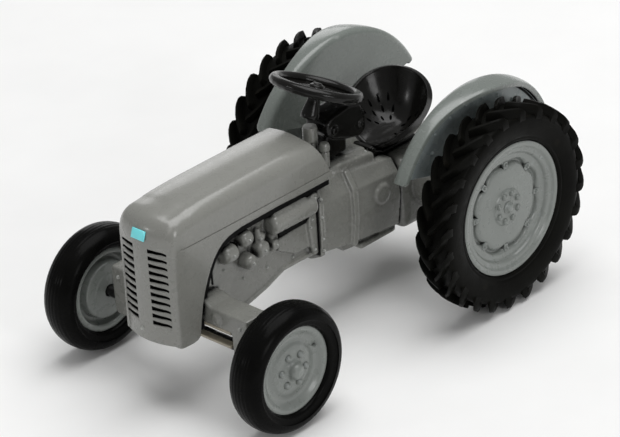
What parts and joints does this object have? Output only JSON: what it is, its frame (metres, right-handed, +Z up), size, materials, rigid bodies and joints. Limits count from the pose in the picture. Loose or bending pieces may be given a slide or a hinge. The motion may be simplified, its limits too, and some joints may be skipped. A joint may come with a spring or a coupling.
{
  "type": "die-cast model tractor",
  "caption": "Small die-cast model of a vintage farm tractor: enclosed bonnet, pan seat, crescent fenders, ribbed front and lugged rear tyres on free-rolling wheels.",
  "frame": {"origin": "on the ground plane, at the centre of the model's bounding box", "axes": "+X forward to the nose, +Y to the driver's left, +Z up"},
  "size_m": [0.037, 0.0228, 0.0203],
  "materials": {
    "grey_enamel": "gloss",
    "grey_wheel_enamel": "gloss",
    "black_plastic": "gloss",
    "tyre_vinyl": "satin",
    "blackened_rod": "satin",
    "badge_enamel": "gloss"
  },
  "bodies": {
    "chassis": {"air_cleaner": "grey_enamel", "bonnet": "grey_enamel", "carburettor": "grey_enamel", "column_tube": "grey_enamel", "drawbar": "grey_enamel", "dynamo": "grey_enamel", "engine_block": "grey_enamel", "exhaust_manifold": "grey_enamel", "front_axle_beam": "grey_enamel", "front_axle_rod": "blackened_rod", "fuel_tap": "grey_enamel", "gearbox_housing": "grey_enamel", "grille_badge": "badge_enamel", "left_fender": "grey_enamel", "manifold": "grey_enamel", "oil_filter": "grey_enamel", "radiator": "grey_enamel", "rear_axle_housing": "grey_enamel", "rear_axle_rod": "blackened_rod", "right_fender": "grey_enamel", "seat": "black_plastic", "seat_bracket": "black_plastic", "starter_motor": "grey_enamel", "steering_column": "black_plastic", "steering_pedestal": "black_plastic", "steering_wheel": "black_plastic"},
    "left_front_wheel": {"left_front_rim": "grey_wheel_enamel", "left_front_tyre": "tyre_vinyl"},
    "left_rear_wheel": {"left_rear_rim": "grey_wheel_enamel", "left_rear_tyre": "tyre_vinyl"},
    "right_front_wheel": {"right_front_rim": "grey_wheel_enamel", "right_front_tyre": "tyre_vinyl"},
    "right_rear_wheel": {"right_rear_rim": "grey_wheel_enamel", "right_rear_tyre": "tyre_vinyl"}
  },
  "joints": [
    {"name": "left_front_wheel_spin", "type": "hinge", "parent": "chassis", "child": "left_front_wheel", "pos_m": [0.01353, 0.00965, 0.00495], "axis": [0, 1, 0], "continuous": true},
    {"name": "left_rear_wheel_spin", "type": "hinge", "parent": "chassis", "child": "left_rear_wheel", "pos_m": [-0.00988, 0.00975, 0.00825], "axis": [0, 1, 0], "continuous": true},
    {"name": "right_front_wheel_spin", "type": "hinge", "parent": "chassis", "child": "right_front_wheel", "pos_m": [0.01353, -0.00965, 0.00495], "axis": [0, 1, 0], "continuous": true},
    {"name": "right_rear_wheel_spin", "type": "hinge", "parent": "chassis", "child": "right_rear_wheel", "pos_m": [-0.00988, -0.00975, 0.00825], "axis": [0, 1, 0], "continuous": true}
  ]
}
